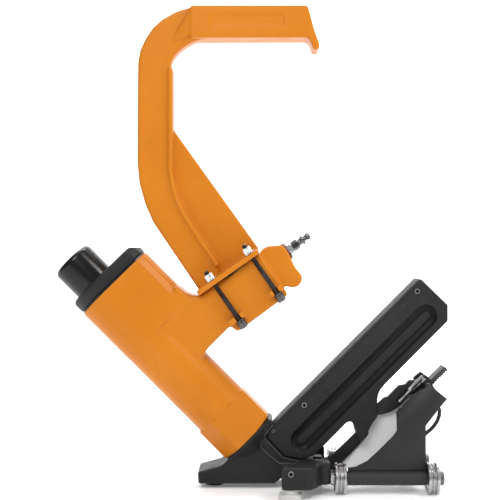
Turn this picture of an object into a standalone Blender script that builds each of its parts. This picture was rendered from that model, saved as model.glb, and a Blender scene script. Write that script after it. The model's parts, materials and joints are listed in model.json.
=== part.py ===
"""Pneumatic flooring nailer on a rolling base.

Lengths below are millimetres and are scaled to metres when a mesh is made.
World axes: +Z up from the floor, +X towards the magazine, -Y the side with the open bracket arm.
The barrel and the magazine share one frame turned 45 degrees: S runs down the barrel, T up the magazine.
The neck and the handle foot share a second frame turned 35 degrees: U along the clamp plate, W square to it.
"""
import bpy
import bmesh
from math import sin, cos, tan, pi, radians, sqrt, atan2, acos
from mathutils import Matrix, Vector

for item in list(bpy.data.objects):
    bpy.data.objects.remove(item, do_unlink=True)

# ---------------------------------------------------------------- driving dimensions
MM = 0.001
GAP = 0.3                    # clearance between pieces that touch
CENTRE_X = 2.842             # middle of the overall length before the model is centred

BARREL_ANGLE = 45.0
BARREL_T = 40.6              # height of the barrel axis in the S-T frame
BARREL_R = 36.5
BARREL_TOP = -292.3
BARREL_END = -44.0
BORE_R = 30.0
HEAD_T = 91.4                # centre of the head's valve chamber
HEAD_R = 19.8
CAP_THICK = 16.3
STRIKE_R = 27.2
STRIKE_OUT = -352.0
STRIKE_IN = -308.0
STRIKE_TRAVEL = 8.0

SLEEVE_TOP, SLEEVE_END = -210.0, -96.0
SLEEVE_R, SLEEVE_BORE = 27.5, 24.0
PISTON_TOP, PISTON_END = -204.0, -190.0
DRIVER_TIP = -31.0
STROKE = 65.0

NECK_ANGLE = 35.0
NECK_HALF = 27.0
PLATE_W0, PLATE_W1 = 226.3, 232.8
BOLT_U = (107.8, 163.6)
BOLT_Y = 32.0
BOLT_R = 3.0

MAG_S0, MAG_S1 = -33.1, 28.4
MAG_T0, MAG_T1 = 46.0, 327.4
MAG_HALF = 20.0
NOSE_HALF = 26.0

AXLE_Y = 50.0
AXLE_Z = 18.3
ROLLER_R = 18.3
ROLLER_W = 13.4
ROLLER_X = (101.1, 210.3)
TUBE_R = 8.25
AXLE_R = 4.6
PAD_X, PAD_Y, PAD_R = 47.9, 75.0, 14.2

# ---------------------------------------------------------------- frames
A = radians(BARREL_ANGLE)
N = radians(-NECK_ANGLE)
WORLD = Matrix.Identity(3)
BARREL = Matrix.Rotation(A, 3, 'Y')
NECK = Matrix.Rotation(N, 3, 'Y')
SHIFT = Vector((-CENTRE_X, 0.0, 0.0))


def st(x, z):
    """S and T of a world point."""
    return ((x - z) / sqrt(2.0), (x + z) / sqrt(2.0))


# ---------------------------------------------------------------- materials
def material(name, rgb, metallic, roughness):
    mat = bpy.data.materials.new(name)
    mat.use_nodes = True
    shader = mat.node_tree.nodes["Principled BSDF"]
    shader.inputs["Base Color"].default_value = (*rgb, 1.0)
    shader.inputs["Metallic"].default_value = metallic
    shader.inputs["Roughness"].default_value = roughness
    mat.diffuse_color = (*rgb, 1.0)
    return mat


COLOURS = {
    "orange": ((0.80, 0.26, 0.03), 0.0, 0.38),
    "black": ((0.020, 0.020, 0.021), 0.0, 0.42),
    "mag": ((0.022, 0.022, 0.023), 0.2, 0.48),
    "rubber": ((0.018, 0.018, 0.018), 0.0, 0.70),
    "oxide": ((0.030, 0.028, 0.028), 0.7, 0.45),
    "zinc": ((0.62, 0.63, 0.65), 1.0, 0.28),
    "steel": ((0.55, 0.55, 0.56), 1.0, 0.30),
    "seal": ((0.16, 0.035, 0.02), 0.0, 0.55),
    "nylon": ((0.62, 0.62, 0.60), 0.0, 0.50),
    "plate": ((0.62, 0.62, 0.61), 0.1, 0.45),
    "alloy": ((0.58, 0.58, 0.59), 1.0, 0.40),
    "spring": ((0.30, 0.30, 0.31), 1.0, 0.35),
}


# ---------------------------------------------------------------- mesh builders (millimetres, local frame)
def prism(points, y0, y1):
    """A closed outline of (along, up) points, pulled from y0 to y1."""
    bm = bmesh.new()
    area = sum(points[i - 1][0] * points[i][1] - points[i][0] * points[i - 1][1] for i in range(len(points)))
    if area < 0:
        points = points[::-1]
    face = bm.faces.new([bm.verts.new((p[0], y0, p[1])) for p in points])
    ret = bmesh.ops.extrude_face_region(bm, geom=[face])
    verts = [g for g in ret["geom"] if isinstance(g, bmesh.types.BMVert)]
    bmesh.ops.translate(bm, verts=verts, vec=(0.0, y1 - y0, 0.0))
    bmesh.ops.recalc_face_normals(bm, faces=bm.faces)
    return bm


def tilt(bm, matrix):
    bmesh.ops.transform(bm, matrix=matrix, verts=bm.verts)
    return bm


def prism_x(points, x0, x1):
    """A closed outline of (y, z) points, pulled along the first axis."""
    bm = prism([(p[0], p[1]) for p in points], x0, x1)
    for v in bm.verts:
        v.co = Vector((v.co.y, v.co.x, v.co.z))
    bmesh.ops.recalc_face_normals(bm, faces=bm.faces)
    return bm


def prism_z(points, z0, z1):
    """A closed outline of (x, y) points, pulled upwards."""
    bm = prism([(p[0], p[1]) for p in points], z0, z1)
    for v in bm.verts:
        v.co = Vector((v.co.x, v.co.z, v.co.y))
    bmesh.ops.recalc_face_normals(bm, faces=bm.faces)
    return bm


def box(x0, x1, y0, y1, z0, z1):
    return prism([(x0, z0), (x1, z0), (x1, z1), (x0, z1)], y0, y1)


def turned(profile, n=28, axis='X', centre=(0.0, 0.0, 0.0), phase=0.0, closed=False):
    """A turned piece: (along, radius) points spun round an axis through centre."""
    bm = bmesh.new()
    rings = []
    for h, r in profile:
        if r < 1e-6:
            rings.append([bm.verts.new((h, 0.0, 0.0))])
        else:
            rings.append([bm.verts.new((h, r * cos(phase + 2 * pi * k / n), r * sin(phase + 2 * pi * k / n))) for k in range(n)])
    pairs = list(zip(rings, rings[1:]))
    if closed:
        pairs.append((rings[-1], rings[0]))
    for one, two in pairs:
        for k in range(n):
            j = (k + 1) % n
            if len(one) == 1 and len(two) == 1:
                continue
            if len(one) == 1:
                bm.faces.new((one[0], two[k], two[j]))
            elif len(two) == 1:
                bm.faces.new((one[k], one[j], two[0]))
            else:
                bm.faces.new((one[k], one[j], two[j], two[k]))
    if not closed:
        for ring in (rings[0], rings[-1]):
            if len(ring) > 1:
                bm.faces.new(ring)
    if axis == 'Z':
        for v in bm.verts:
            v.co = Vector((v.co.y, v.co.z, v.co.x))
    elif axis == 'Y':
        for v in bm.verts:
            v.co = Vector((v.co.z, v.co.x, v.co.y))
    bmesh.ops.translate(bm, verts=bm.verts, vec=centre)
    bmesh.ops.recalc_face_normals(bm, faces=bm.faces)
    return bm


def tube(h0, h1, ro, ri, n=28, **kw):
    return turned([(h0, ri), (h0, ro), (h1, ro), (h1, ri)], n, closed=True, **kw)


def rod(h0, h1, r, n=16, **kw):
    return turned([(h0, r), (h1, r)], n, **kw)


def arc(cx, cy, r, a0, a1, n):
    return [(cx + r * cos(radians(a0 + (a1 - a0) * k / n)), cy + r * sin(radians(a0 + (a1 - a0) * k / n))) for k in range(n + 1)]


def soften(points, radius, seg=3, skip=()):
    """Round every corner of an outline by radius, less where the sides are short."""
    out = []
    n = len(points)
    for i, p in enumerate(points):
        p = Vector(p)
        a, b = Vector(points[i - 1]) - p, Vector(points[(i + 1) % n]) - p
        if i in skip or a.length < 0.2 or b.length < 0.2:
            out.append(tuple(p))
            continue
        angle = a.angle(b)
        if angle > radians(172):
            out.append(tuple(p))
            continue
        cut = min(radius / tan(angle / 2), a.length * 0.45, b.length * 0.45)
        start, end = p + a.normalized() * cut, p + b.normalized() * cut
        for k in range(seg + 1):
            t = k / seg
            out.append(tuple(start * (1 - t) ** 2 + p * 2 * t * (1 - t) + end * t * t))
    return out


def hull(points):
    """Convex outline around a set of points."""
    pts = sorted(set((round(p[0], 5), round(p[1], 5)) for p in points))

    def half(seq):
        h = []
        for p in seq:
            while len(h) > 1 and (h[-1][0] - h[-2][0]) * (p[1] - h[-2][1]) - (h[-1][1] - h[-2][1]) * (p[0] - h[-2][0]) <= 0:
                h.pop()
            h.append(p)
        return h[:-1]
    return half(pts) + half(pts[::-1])


# ---------------------------------------------------------------- objects
def piece(name, bm, colour, frame=WORLD, origin=(0.0, 0.0, 0.0)):
    """An object in its frame, with its own origin at the given local point."""
    origin = Vector(origin)
    bmesh.ops.translate(bm, verts=bm.verts, vec=-origin)
    bmesh.ops.scale(bm, verts=bm.verts, vec=(MM, MM, MM))
    mesh = bpy.data.meshes.new(name)
    bm.to_mesh(mesh)
    bm.free()
    obj = bpy.data.objects.new(name, mesh)
    bpy.context.scene.collection.objects.link(obj)
    matrix = frame.to_4x4()
    matrix.translation = (frame @ origin + SHIFT) * MM
    obj.matrix_world = matrix
    if colour:
        rgb, metallic, rough = COLOURS[colour]
        mesh.materials.append(material(name + "_" + colour, rgb, metallic, rough))
    mesh.shade_smooth()
    mesh.set_sharp_from_angle(angle=radians(32))
    return obj


def helper(bm, frame=WORLD, name="tool"):
    obj = piece(name, bm, None, frame)
    obj.hide_render = True
    obj.display_type = 'WIRE'
    return obj


def boolean(obj, tool, operation):
    mod = obj.modifiers.new(operation.lower(), 'BOOLEAN')
    mod.operation = operation
    mod.solver = 'EXACT'
    mod.object = tool
    return mod


def cut(obj, bm, frame=WORLD):
    return boolean(obj, helper(bm, frame, "cut_" + obj.name), 'DIFFERENCE')


def join(obj, bm, frame=WORLD, edge=0.0, seg=2):
    tool = helper(bm, frame, "add_" + obj.name)
    if edge:
        bevel(tool, edge, seg)
    return boolean(obj, tool, 'UNION')


def bevel(obj, width, seg=2, angle=35.0):
    mod = obj.modifiers.new("edge", 'BEVEL')
    mod.width = width * MM
    mod.segments = seg
    mod.limit_method = 'ANGLE'
    mod.angle_limit = radians(angle)
    mod.use_clamp_overlap = True
    return mod


def hexagon(r, phase=0.0):
    return [(r * cos(phase + pi / 3 * k), r * sin(phase + pi / 3 * k)) for k in range(6)]


# ================================================================ barrel and head
AXIS = (0.0, 0.0, BARREL_T)


def head_outline(inset=0.0):
    """Head shape square to the barrel: the barrel circle and the wide valve chamber, as (y, t)."""
    pts = [(BARREL_R - inset, 0.0)]
    ring = []
    for cy, ct, r in ((0.0, BARREL_T, BARREL_R), (9.0, HEAD_T, HEAD_R), (-9.0, HEAD_T, HEAD_R)):
        ring += arc(cy, ct, r - inset, 0, 345, 23 if r > 30 else 11)
    return hull(ring)


body = piece("body_casting", rod(BARREL_TOP + 4.0, BARREL_END, BARREL_R, 36, centre=AXIS), "orange", BARREL)
join(body, prism_x(head_outline(-0.4), BARREL_TOP, -214.0), BARREL)
# eight-sided collar at the lower end of the barrel
COLLAR_R = (BARREL_R + 0.35) / cos(pi / 8)
join(body, turned([(-94.0, 33.0), (-89.0, COLLAR_R), (BARREL_END - 1.2, COLLAR_R), (BARREL_END + 0.2, COLLAR_R - 1.2)],
                  8, centre=AXIS, phase=pi / 8), BARREL)
# neck, drawn in world x and z, from the barrel up to the clamp plate
neck_xz = [(-112, 205), (-88, 246.5), (-78.5, 237.6), (-70, 234.3), (-64, 233.6), (-60.5, 234.0),
           (12.3, 284.9), (33.0, 256.0), (47.3, 234.9), (-14.0, 189.7), (-22.9, 196.9), (-50.5, 169.3),
           (-57.0, 159.0), (-60.0, 140.0), (-95.0, 150.0)]
join(body, prism(neck_xz, -NECK_HALF, NECK_HALF), WORLD, 3.0, 2)
# inlet head: two rounded lobes
lobes = [(5.0, 262.0), (12.9, 285.2), (17.0, 291.0), (22.5, 293.8), (33.0, 294.6), (39.6, 295.2), (43.6, 291.6),
         (50.6, 279.7), (54.6, 270.5), (57.5, 266.0), (62.0, 261.2), (64.6, 256.0), (63.6, 249.5), (58.8, 244.6), (52.8, 243.2),
         (45.6, 244.8), (38.0, 243.0), (20.0, 240.0)]
join(body, prism(soften(lobes, 3.0, 2), -21.0, 21.0), WORLD, 6.5, 2)
# ears that the clamp bolts pull on, open outwards
for u in BOLT_U:
    for side in (-1, 1):
        y0, y1 = sorted((side * 20.0, side * 37.0))
        u0 = u - 13.4 if u == BOLT_U[0] else u - 8.5
        u1 = u + 8.5 if u == BOLT_U[0] else u + 9.6
        join(body, box(u0, u1, y0, y1, 174.3, 181.5), NECK)
for u in BOLT_U:
    for side in (-1, 1):
        y0, y1 = sorted((side * 28.6, side * 45.0))
        cut(body, box(u - 3.5, u + 3.5, y0, y1, 170.0, 190.0), NECK)
        cut(body, rod(150.0, 174.9, 6.8, 12, axis='Z', centre=(u, side * BOLT_Y, 0.0)), NECK)
# bore, valve chamber, air way and inlet thread
cut(body, rod(BARREL_TOP - 5, BARREL_END + 5, BORE_R, 28, centre=AXIS), BARREL)
cut(body, rod(BARREL_TOP - 5, -226.0, 14.0, 12, centre=(0.0, 0.0, HEAD_T - 2.0)), BARREL)
cut(body, prism([(54.0, 188.0), (148.0, 188.0), (148.0, 212.0), (54.0, 212.0)], -13.0, 13.0), NECK)
PLUG = ((46.6, 287.6), 36.0)          # middle of the inlet face and its direction
PLUG_FRAME = Matrix.Rotation(radians(-PLUG[1]), 3, 'Y')
PU = 46.6 * cos(radians(36)) + 287.6 * sin(radians(36))
PW = -46.6 * sin(radians(36)) + 287.6 * cos(radians(36))
cut(body, rod(PU - 3.4, PU + 20.0, 11.8, 24, centre=(0.0, 0.0, PW)), PLUG_FRAME)
cut(body, rod(PU - 22.0, PU + 1.0, 5.9, 16, centre=(0.0, 0.0, PW)), PLUG_FRAME)
cut(body, prism([(134.0, 200.0), (142.0, 200.0), (179.0, 227.0), (179.0, 236.0), (168.0, 236.0)], -4.2, 4.2), NECK)

# seat of the clamp plate
cut(body, box(83.6, 175.0, -50, 50, PLATE_W0 - GAP, 264.0), NECK)

# head gasket and cap
gasket = piece("head_gasket", prism_x(head_outline(0.6), BARREL_TOP - 1.5, BARREL_TOP - GAP), "rubber", BARREL)
cut(gasket, rod(-330, -280, BORE_R, 24, centre=AXIS), BARREL)
cap_out = BARREL_TOP - 1.5 - GAP - CAP_THICK
end_cap = piece("end_cap", prism_x(head_outline(0.3), cap_out, BARREL_TOP - 1.5 - GAP), "black", BARREL)
bevel(end_cap, 2.2, 1, 50)
cut(end_cap, rod(-330, -280, STRIKE_R + 0.6, 28, centre=AXIS), BARREL)
# the outer edge is chamfered, more over the chamber than under the barrel
CAP_HIGH, CAP_LOW = HEAD_T + HEAD_R - 0.3, BARREL_T - BARREL_R + 0.3
cut(end_cap, prism([(cap_out - 4.0, CAP_HIGH - 12.3), (cap_out + 12.3, CAP_HIGH + 4.0), (cap_out - 4.0, CAP_HIGH + 4.0)], -60.0, 60.0), BARREL)
cut(end_cap, prism([(cap_out - 4.0, CAP_LOW + 8.5), (cap_out + 8.5, CAP_LOW - 4.0), (cap_out - 4.0, CAP_LOW - 4.0)], -60.0, 60.0), BARREL)
CAP_SCREWS = ((25.0, 66.0), (-25.0, 66.0), (14.0, HEAD_T + 2.0), (-14.0, HEAD_T + 2.0))
for y, t in CAP_SCREWS:
    cut(end_cap, rod(cap_out - 5, cap_out + 5.0, 5.3, 10, centre=(0.0, y, t)), BARREL)
    cut(end_cap, rod(cap_out - 5, BARREL_TOP + 5, 3.1, 8, centre=(0.0, y, t)), BARREL)
    cut(gasket, rod(-330, -280, 3.1, 8, centre=(0.0, y, t)), BARREL)
    cut(body, rod(-300, BARREL_TOP + 14, 3.1, 8, centre=(0.0, y, t)), BARREL)
for k, (y, t) in enumerate(CAP_SCREWS):
    s0 = cap_out + 0.4
    piece(f"cap_screw_{k + 1}", turned([(s0 + 3.0, 0.0), (s0 + 3.0, 2.1), (s0, 2.1), (s0, 4.7), (cap_out + 4.7, 4.7), (cap_out + 4.7, 2.5),
                                        (BARREL_TOP + 12, 2.5), (BARREL_TOP + 13, 0.0)], 10, centre=(0.0, y, t)), "oxide", BARREL)

# rubber strike cap on its ram, which opens the valve when struck
strike = [(STRIKE_OUT, 0.0), (STRIKE_OUT, 22.0), (STRIKE_OUT + 1.2, 25.2), (STRIKE_OUT + 4.0, STRIKE_R), (STRIKE_IN - 3.0, STRIKE_R),
          (STRIKE_IN, STRIKE_R - 2.0), (STRIKE_IN, 9.3), (STRIKE_OUT + 12.0, 9.3), (STRIKE_OUT + 12.0, 0.0)]
piece("strike_cap", turned(strike, 24), "rubber", BARREL, (0, 0, 0)).matrix_world.translation = (BARREL @ Vector(AXIS) + SHIFT) * MM
ram = piece("ram_stem", turned([(STRIKE_OUT + 12.3, 0.0), (STRIKE_OUT + 12.3, 9.0), (-300.0, 9.0), (-300.0, 22.0), (-296.0, 22.0), (-296.0, 6.0),
                                (-252.0, 6.0), (-252.0, 9.5), (-247.0, 9.5), (-245.0, 7.0), (-245.0, 0.0)], 16, centre=AXIS), "steel", BARREL)


def coil(h0, h1, radius, wire, turns, steps=8, sides=4):
    """A closed-end coil spring along the first axis."""
    bm = bmesh.new()
    total = int(turns * steps)
    rings = []
    for k in range(total + 1):
        a = 2 * pi * turns * k / total
        h = h0 + wire + (h1 - h0 - 2 * wire) * k / total
        ring = []
        for j in range(sides):
            b = 2 * pi * j / sides
            r = radius + wire * cos(b)
            ring.append(bm.verts.new((h + wire * sin(b), r * cos(a), r * sin(a))))
        rings.append(ring)
    for one, two in zip(rings, rings[1:]):
        for j in range(sides):
            i = (j + 1) % sides
            bm.faces.new((one[j], one[i], two[i], two[j]))
    bm.faces.new(rings[0])
    bm.faces.new(rings[-1])
    bmesh.ops.recalc_face_normals(bm, faces=bm.faces)
    return bm


def moved(bm, offset):
    bmesh.ops.translate(bm, verts=bm.verts, vec=offset)
    return bm


piece("ram_spring", moved(coil(-295.0, -266.2, 14.0, 1.3, 5), AXIS), "spring", BARREL)
piece("valve_seat", tube(-266.0, -256.0, BORE_R - 0.6, 10.5, 20, centre=AXIS), "alloy", BARREL)
# head valve ring above the sleeve
piece("head_valve", turned([(-236.0, 12.0), (-236.0, 29.0), (-220.0, 29.0), (-220.0, 12.0)], 20, centre=AXIS, closed=True), "nylon", BARREL)
piece("valve_spring", moved(coil(-255.7, -236.3, 20.0, 1.2, 3, 10), AXIS), "spring", BARREL)
# cylinder
piece("cylinder_sleeve", turned([(SLEEVE_TOP, SLEEVE_BORE + 0.3), (SLEEVE_TOP, SLEEVE_R), (-160.0, SLEEVE_R), (-160.0, BORE_R - 0.6), (-152.0, BORE_R - 0.6),
                                 (-152.0, SLEEVE_R), (SLEEVE_END, SLEEVE_R), (SLEEVE_END, SLEEVE_BORE + 0.3)], 24, centre=AXIS, closed=True), "alloy", BARREL)
piece("piston", turned([(PISTON_TOP, 0.0), (PISTON_TOP, 22.4), (-200.0, 22.4), (-200.0, 19.9), (-195.6, 19.9), (-195.6, 22.4), (PISTON_END, 22.4), (PISTON_END, 0.0)],
                       18, centre=AXIS), "alloy", BARREL)
piece("piston_ring", tube(-199.7, -195.9, 23.7, 20.4, 20, centre=AXIS), "rubber", BARREL)
piece("driver_blade", prism([(PISTON_END + GAP, BARREL_T - 1.2), (DRIVER_TIP, BARREL_T - 1.2), (DRIVER_TIP, BARREL_T + 1.2), (PISTON_END + GAP, BARREL_T + 1.2)],
                            -4.0, 4.0), "steel", BARREL)
piece("bumper", turned([(-122.0, 8.0), (-122.0, 21.0), (-117.0, 23.7), (-96.5, 23.7), (-96.5, 8.0)], 18, centre=AXIS, closed=True), "rubber", BARREL)

# ================================================================ handle and its clamp
bar = [(-104.0, 302.2), (-118.3, 323.5), (-128.2, 346.3), (-135.2, 371.7), (-137.4, 396.0), (-137.2, 455.0), (-136.8, 518.2),
       (-134.2, 534.0), (-127.7, 548.0), (-118.5, 562.0), (-106.1, 572.9), (-90.0, 582.0), (-71.0, 587.9), (-50.0, 588.0),
       (-50.0, 548.0), (-58.1, 548.0), (-69.0, 545.0), (-77.9, 539.7), (-87.5, 532.5), (-94.5, 523.2), (-96.6, 514.0), (-97.0, 500.0),
       (-96.0, 440.0), (-95.5, 380.0), (-92.5, 366.0), (-78.5, 332.0), (-61.4, 307.9), (-38.0, 276.0), (-36.5, 257.5), (-62.0, 240.2)]
handle = piece("handle", prism(bar, -12.0, 12.0), "orange")
bevel(handle, 2.6, 1, 40)
# raised rib along the inner edge
rib_mid = [(-96.6, 512.0), (-96.6, 440.0), (-96.6, 384.0), (-93.5, 367.0), (-88.0, 350.0), (-79.5, 331.5), (-66.0, 310.0), (-44.0, 277.5), (-39.0, 269.0)]


def ribbon(mid, half):
    """An outline of even width along a line of points."""
    left, right = [], []
    for k, p in enumerate(mid):
        a = Vector(mid[max(k - 1, 0)])
        b = Vector(mid[min(k + 1, len(mid) - 1)])
        d = (b - a).normalized()
        nrm = Vector((-d.y, d.x)) * half
        left.append(tuple(Vector(p) + nrm))
        right.append(tuple(Vector(p) - nrm))
    return left + right[::-1]


join(handle, prism(ribbon(rib_mid, 2.9), -15.5, 15.5), WORLD, 1.6, 2)
join(handle, prism([(-98.0, 441.0), (-95.6, 440.6), (12.2, 290.2), (6.5, 281.0), (-40.0, 252.0), (-60.0, 270.0), (-98.0, 370.0)], -4.0, 4.0), WORLD, 1.0, 1)
# grip with its hooked end
grip = [(-72.0, 548.2), (-72.0, 588.0), (69.5, 588.0), (72.2, 586.0), (79.0, 560.0), (86.0, 540.0), (85.6, 536.2), (83.2, 533.4), (79.6, 533.6), (77.4, 536.0),
        (75.6, 541.5), (72.8, 547.0), (69.0, 548.6)]
join(handle, prism(grip, -18.0, 18.0), WORLD, 4.0, 2)
# triangular blend between the flat bar and the wide grip
blend_bm = bmesh.new()
low = [blend_bm.verts.new((x, y, z)) for x, y, z in ((-101.0, -11.0, 539.0), (-71.0, -17.3, 584.5), (-71.0, -17.3, 553.0),
                                                     (-101.0, 11.0, 539.0), (-71.0, 17.3, 584.5), (-71.0, 17.3, 553.0))]
bmesh.ops.convex_hull(blend_bm, input=blend_bm.verts)
join(handle, blend_bm)
for side in (-1, 1):
    y0, y1 = sorted((side * 16.8, side * 25.0))
    cut(handle, prism(soften([(-48.0, 561.5), (42.5, 561.5), (42.5, 576.5), (-48.0, 576.5)], 1.5, 2), y0, y1))
# clamp plate at its foot
plate_corner = [(84.6, -37.5), (174.2, -37.5), (174.2, 37.5), (84.6, 37.5)]
join(handle, prism_z(soften(plate_corner, 5.0, 2), PLATE_W0, PLATE_W1), NECK, 0.8, 1)
for u in BOLT_U:
    for side in (-1, 1):
        cut(handle, rod(PLATE_W0 - 5, PLATE_W1 + 5, BOLT_R + 0.6, 10, axis='Z', centre=(u, side * BOLT_Y, 0.0)), NECK)
# everything of the handle stays above the clamp plane
cut(handle, box(20, 240, -60, 60, 150, PLATE_W0), NECK)

k = 0
for side in (-1, 1):
    for u in BOLT_U:
        k += 1
        c = (u, side * BOLT_Y, 0.0)
        piece(f"clamp_bolt_{k}", turned([(163.2, 0.0), (163.2, 4.4), (164.4, 5.6), (172.0, 5.6), (174.0, 4.6), (174.0, BOLT_R), (245.0, BOLT_R), (246.0, 0.0)],
                                        10, axis='Z', centre=c), "oxide", NECK, (u, side * BOLT_Y, 200.0))
        nut = [(PLATE_W1 + GAP, BOLT_R + 0.3), (PLATE_W1 + GAP, 7.0), (PLATE_W1 + 1.6, 7.0), (PLATE_W1 + 1.6, 5.8), (PLATE_W1 + 7.6, 5.8), (PLATE_W1 + 8.6, 5.0), (PLATE_W1 + 8.6, BOLT_R + 0.3)]
        piece(f"clamp_nut_{k}", turned(nut, 10, axis='Z', centre=c, closed=True), "zinc", NECK, (u, side * BOLT_Y, PLATE_W1))

# ================================================================ air inlet
piece("inlet_seal", tube(PU - 3.1, PU + 1.6, 11.4, 6.5, 18, centre=(0, 0, PW)), "seal", PLUG_FRAME)
bush = piece("hex_bushing", prism_x([(p[0], p[1] + PW) for p in hexagon(9.2)], PU + 1.9, PU + 8.2), "zinc", PLUG_FRAME)
bevel(bush, 0.6, 1)
join(bush, rod(PU - 18.0, PU + 4.0, 5.6, 16, centre=(0, 0, PW)), PLUG_FRAME)
cut(bush, rod(PU - 30.0, PU + 20.0, 4.1, 14, centre=(0, 0, PW)), PLUG_FRAME)
plug = [(PU - 6.0, 2.1), (PU - 6.0, 3.8), (PU + 8.5, 3.8), (PU + 8.5, 6.2), (PU + 17.0, 6.2), (PU + 17.0, 3.9), (PU + 22.0, 3.9), (PU + 22.0, 5.7), (PU + 25.0, 5.7),
        (PU + 25.0, 3.3), (PU + 29.0, 3.3), (PU + 30.0, 4.6), (PU + 34.0, 4.3), (PU + 34.0, 2.1)]
piece("air_plug", turned(plug, 12, centre=(0, 0, PW), closed=True), "zinc", PLUG_FRAME)

# ================================================================ nose casting and magazine
# outline in world x and z: toe, barrel seat, recess of the magazine, chamfer behind the toe
nose_xz = [(-61.6, 6.0), (-62.6, 18.0), (-61.0, 20.4), (-36.0, 27.0), (-31.5, 29.6), (-28.5, 32.4), (23.4, 84.6), (28.5, 81.8), (41.0, 79.6), (96.0, 41.0), (88.0, 26.2),
           (70.0, 13.0), (38.5, 12.6), (31.6, 6.0)]
nose = piece("nose_casting", prism(nose_xz, -NOSE_HALF, NOSE_HALF), "black")
bevel(nose, 1.2, 1, 40)
# round seat flange under the barrel, tapering into the cheeks
join(nose, turned([(BARREL_END + GAP, 36.3), (-40.0, 36.3), (-26.0, 27.5), (-20.0, 20.0), (-20.0, 0.0), (BARREL_END + GAP, 0.0)], 32, centre=AXIS), BARREL)
# spigot in the end of the bore
join(nose, rod(-62.0, -40.0, BORE_R - 0.6, 24, centre=AXIS), BARREL)
# slot of the driver, and the mouth over the floor
cut(nose, prism([(-70.0, BARREL_T - 1.8), (80.0, BARREL_T - 1.8), (80.0, BARREL_T + 2.2), (-70.0, BARREL_T + 2.2)], -4.6, 4.6), BARREL)
# the near and far recesses follow the magazine's foot in world x and z
recess = [(34.0, 90.0), (28.1, 75.5), (13.9, 59.2), (13.9, 49.0), (36.4, 30.3), (60.2, 29.4), (74.0, 25.6), (120.0, 22.0), (120.0, 90.0)]
cut(nose, prism(recess, -40.0, -MAG_HALF - 3.6))
cut(nose, prism(recess, MAG_HALF + 3.6, 40.0))
foot_xz = [(33.0, 88.0), (20.5, 67.0), (20.5, 60.5), (42.0, 37.5), (62.0, 33.0), (130.0, 30.0), (130.0, 120.0), (40.0, 100.0)]
cut(nose, prism(foot_xz, -40.0, 40.0))
cut(nose, prism([(-27.0, 41.0), (26.0, 41.0), (26.0, 90.0), (-27.0, 90.0)], -3.1, 3.1), BARREL)
cut(nose, rod(-5.0, 8.3, 6.2, 18, axis='Z', centre=(-42.8, 0.0, 0.0)))
# room for the arm and the beam of the rolling base
cut(nose, box(78.5, 130.0, -6.2, 6.2, 0.0, 60.0))
cut(nose, box(88.2, 130.0, -40.0, 40.0, 0.0, 25.4))

piece("toe_foot", turned([(0.0, 0.0), (0.0, 10.6), (1.0, 11.8), (4.6, 11.8), (5.4, 10.6), (5.7, 5.9), (8.0, 5.9), (8.0, 0.0)], 18, axis='Z', centre=(-42.8, 0, 0)), "rubber")

# magazine: side outline in world x and z with the leg that the rolling base hangs from
b45 = 1.0 / sqrt(2.0)


def world_of(s, t):
    return ((s + t) * b45, (t - s) * b45)


mag_top = world_of(MAG_S0, MAG_T1)
mag_xz = [(39.0, 85.8), mag_top, (241.8, 222.0), (241.8, 202.6), (164.8, 125.2), (159.8, 119.0), (157.0, 113.0), (155.9, 105.0), (155.9, 85.6),
          (150.2, 78.6), (146.0, 70.8), (142.2, 61.6), (135.4, 52.2), (131.6, 64.4), (128.2, 76.6), (123.4, 80.4), (118.2, 78.6), (86.0, 45.9), (78.6, 38.8), (62.3, 34.0), (42.6, 38.2),
          (21.4, 60.8), (21.4, 66.6)]
mag_xz = soften(mag_xz, 2.0, 1)
magazine = piece("magazine_body", prism(mag_xz, -MAG_HALF, MAG_HALF), "mag")
bevel(magazine, 1.2, 1, 40)


def stadium(s, t0, t1, r, n=8):
    return [(s + r * cos(radians(180 * k / n)), t1 - r + r * sin(radians(180 * k / n))) for k in range(n + 1)] + \
           [(s - r * cos(radians(180 * k / n)), t0 + r - r * sin(radians(180 * k / n))) for k in range(n + 1)]


GROOVE_S = 4.5
GROOVE_R = 14.0
for side in (-1, 1):
    y0, y1 = sorted((side * (MAG_HALF - 5.0), side * 40.0))
    cut(magazine, prism(stadium(GROOVE_S, 72.0, 314.0, GROOVE_R), y0, y1), BARREL)
# nail channel: stem, head pocket, and the open back end for loading
cut(magazine, prism([(-24.0, 30.0), (27.0, 30.0), (27.0, 340.0), (-24.0, 340.0)], -3.0, 3.0), BARREL)
cut(magazine, prism([(-27.0, 30.0), (-20.0, 30.0), (-20.0, 340.0), (-27.0, 340.0)], -6.5, 6.5), BARREL)
# slot of the leg for the arm of the rolling base
cut(magazine, prism([(100.0, 30.0), (170.0, 30.0), (170.0, 100.0), (148.0, 96.0), (124.0, 74.0)], -6.6, 6.6))
# cross screws of the magazine
TOP_RIVET = (204.5, 238.9)
LOW_SCREW = (67.0, 100.1)
for k, (x, z) in enumerate((TOP_RIVET, LOW_SCREW)):
    for side in (-1, 1):
        y0, y1 = sorted((side * 18.6, side * 40.0))
        cut(magazine, rod(y0, y1, 3.9, 14, axis='Y', centre=(x, 0, z)))
        if k:
            y0, y1 = sorted((side * 8.0, side * 40.0))
            cut(magazine, rod(y0, y1, 1.9, 10, axis='Y', centre=(x, 0, z)))
cut(magazine, rod(-40.0, 40.0, 1.9, 10, axis='Y', centre=(TOP_RIVET[0], 0, TOP_RIVET[1])))
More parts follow.
